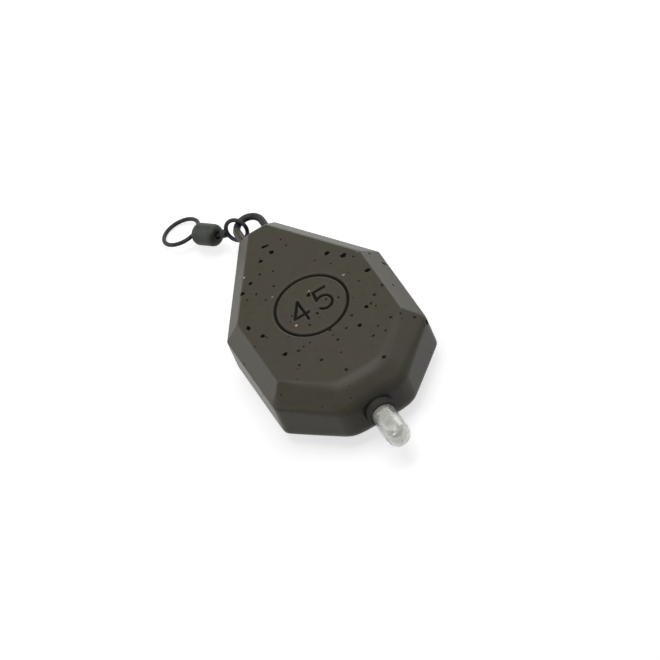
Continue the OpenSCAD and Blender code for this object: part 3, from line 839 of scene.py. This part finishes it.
def soft_box(name, place, level):
    """A square soft box that faces the sinker, its level as bright as a white sheet of that value."""
    light = bpy.data.lights.new(name, "AREA")
    light.shape = "SQUARE"
    light.size = BOX_WIDTH
    light.energy = level * math.pi * BOX_WIDTH * BOX_WIDTH
    lamp = bpy.data.objects.new(name, light)
    bpy.context.scene.collection.objects.link(lamp)
    lamp.location = place
    lamp.rotation_euler = (Vector() - Vector(place)).to_track_quat("-Z", "Y").to_euler()
    lamp.visible_camera = False


def by_camera(recipe):
    """1 where the camera looks straight at a surface, and 0 otherwise."""
    return recipe.node("ShaderNodeLightPath", output="Is Camera Ray")


def seen_directly(recipe):
    """1 where the camera, a reflection or a view through something clear looks, and 0 otherwise."""
    reflected = recipe.node("ShaderNodeLightPath", output="Is Glossy Ray")
    let_through = recipe.node("ShaderNodeLightPath", output="Is Transmission Ray")
    return (by_camera(recipe) + reflected + let_through).clipped()


def white_surround():
    """White where it is seen or mirrored, and all but dark as a source of light."""
    world = bpy.data.worlds.new("white_surround")
    bpy.context.scene.world = world
    world.use_nodes = True
    r = Recipe(world.node_tree)
    dim = r.node("ShaderNodeBackground", inputs={"Color": (1, 1, 1, 1), "Strength": SURROUND_DIM})
    white = r.node("ShaderNodeBackground", inputs={"Color": (1, 1, 1, 1), "Strength": 1})
    mixed = r.node("ShaderNodeMixShader", inputs={0: seen_directly(r), 1: dim, 2: white})
    r.node("ShaderNodeOutputWorld", inputs={"Surface": mixed})


def pale_floor():
    """A pale sheet under the sinker that takes its soft shadow."""
    reach = FLOOR_REACH
    mesh = bpy.data.meshes.new("pale_floor")
    corners = [(-reach, -reach, 0), (reach, -reach, 0), (reach, reach, 0), (-reach, reach, 0)]
    mesh.from_pydata(corners, [], [(0, 1, 2, 3)])
    floor = bpy.data.objects.new("pale_floor", mesh)
    floor.location.z = -FLOOR_DROP
    bpy.context.scene.collection.objects.link(floor)
    material, r = finish("pale_sheet")
    sheet = r.node("ShaderNodeBsdfDiffuse", inputs={"Color": (FLOOR_GREY, FLOOR_GREY, FLOOR_GREY, 1)})
    glow = seen_directly(r) * FLOOR_GLOW + by_camera(r) * FLOOR_GLOW_TO_CAMERA
    lift = r.node("ShaderNodeEmission", inputs={"Color": (1, 1, 1, 1), "Strength": glow})
    close(r, r.node("ShaderNodeAddShader", inputs={0: sheet, 1: lift}))
    mesh.materials.append(material)


def photo_camera():
    """The camera where the photograph was taken from, with its view as wide as the photograph."""
    shown_width = 2 * PHOTO_MIDDLE[0] / PIXELS_PER_MM * MM
    camera = bpy.data.cameras.new("photo_camera")
    camera.sensor_width = FILM_WIDTH
    camera.lens = FILM_WIDTH * CAMERA_AWAY / shown_width
    camera.clip_end = CAMERA_REACH
    taker = bpy.data.objects.new("photo_camera", camera)
    bpy.context.scene.collection.objects.link(taker)
    spot = photo_place(*PHOTO_MIDDLE) + LOOK_BACK * CAMERA_AWAY
    columns = Matrix((LOOK_RIGHT, LOOK_UP, LOOK_BACK)).transposed()
    taker.matrix_world = Matrix.Translation(spot) @ columns.to_4x4()
    bpy.context.scene.camera = taker


# The camera and the studio
photo_camera()
white_surround()
pale_floor()
for box_name, (box_place, box_level) in SOFT_BOXES.items():
    soft_box(box_name, box_place, box_level)

# The dip over the weight, with its number, its creep up the wire loop and its flecks
lip_low, lip_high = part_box("socket_sleeve")
lip = Vector(((lip_low.x + lip_high.x) / 2, lip_low.y, (lip_low.z + lip_high.z) / 2))
dip = coat_finish(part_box("speckled_coat")[1].z, lip)
coat = coat_with_number(dip)
crept_dip(dip)
bpy.context.view_layer.update()
black_flake = fleck_finish("black_flake", (0.0035, 0.0032, 0.003), lift=1.6, rough=0.90, gloss=0.04)
sunk_flake = fleck_finish("sunk_flake", (0.012, 0.011, 0.009), lift=1.5, rough=0.80, gloss=0.12)
pale_flake = fleck_finish("pale_flake", (0.40, 0.39, 0.35), lift=1.4, rough=0.40, gloss=0.40)
sunk = [row for row in DARK_FLECKS if is_sunk(row)]
black = [row for row in DARK_FLECKS if not is_sunk(row)]
set_flakes("dark_flecks", coat, black, scattered=52, material=black_flake, seed=7)
set_flakes("sunk_flecks", coat, sunk, scattered=36, material=sunk_flake, seed=9)
set_flakes("pale_flecks", coat, PALE_FLECKS, scattered=9, material=pale_flake, seed=11)

# The wire loop and the swivel
wire = plated_wire_finish(
    "black_nickel_wire", light=(0.036, 0.036, 0.037), dark=(0.022, 0.022, 0.023), metallic=0.85,
)
barrel = plated_wire_finish(
    "black_nickel_barrel", light=(0.043, 0.048, 0.041), dark=(0.031, 0.035, 0.029), metallic=0.8,
)
drawn_eye("small_eye_wire", "swivel_small_eye", "small_eye", wire)
drawn_eye("big_eye_wire", "swivel_big_eye", "big_eye", wire)
give(wire, "wire_loop")
give(barrel, "swivel_barrel")

# The light in the nose, with its cell, and the lead under the dip
tinned = bright_metal_finish("tinned_steel", (0.70, 0.70, 0.70), (0.55, 0.54, 0.52), rough=0.24)
brass = bright_metal_finish(
    "turned_brass", (0.78, 0.60, 0.28), (0.60, 0.44, 0.18), rough=0.2, along=(0.2, 1, 0.2),
)
can = bright_metal_finish("drawn_can", (0.76, 0.77, 0.78), (0.60, 0.61, 0.62), rough=0.2)
lithium = bright_metal_finish(
    "soft_lithium", (0.60, 0.61, 0.64), (0.42, 0.43, 0.47), rough=0.42, along=(1, 1, 1), pitch=0.3,
)
moulding = moulded_plastic_finish("white_moulding", (0.78, 0.78, 0.75), (0.70, 0.69, 0.66), rough=0.42)
film = moulded_plastic_finish("separator_film", (0.80, 0.80, 0.80), (0.72, 0.72, 0.72), rough=0.6)
seal = moulded_plastic_finish("blue_seal", (0.030, 0.045, 0.110), (0.040, 0.060, 0.150), rough=0.4)
give(rubber_finish(), "socket_sleeve", "o_ring")
give(milky_tube_finish(), "light_tube")
give(lamp_resin_finish(), "led_lens")
give(chip_finish(), "led_chip")
give(tinned, "led_cathode_leg", "led_anode_leg", "contact_cup", "battery_pin")
give(moulding, "bush", "end_cap")
give(brass, "pin_socket")
give(can, "battery_can")
give(seal, "battery_gasket")
give(pressed_powder_finish(), "battery_mix")
give(film, "battery_separator")
give(lithium, "battery_lithium")
give(lead_finish(), "cast_weight")

bpy.context.scene.view_settings.view_transform = "Standard"
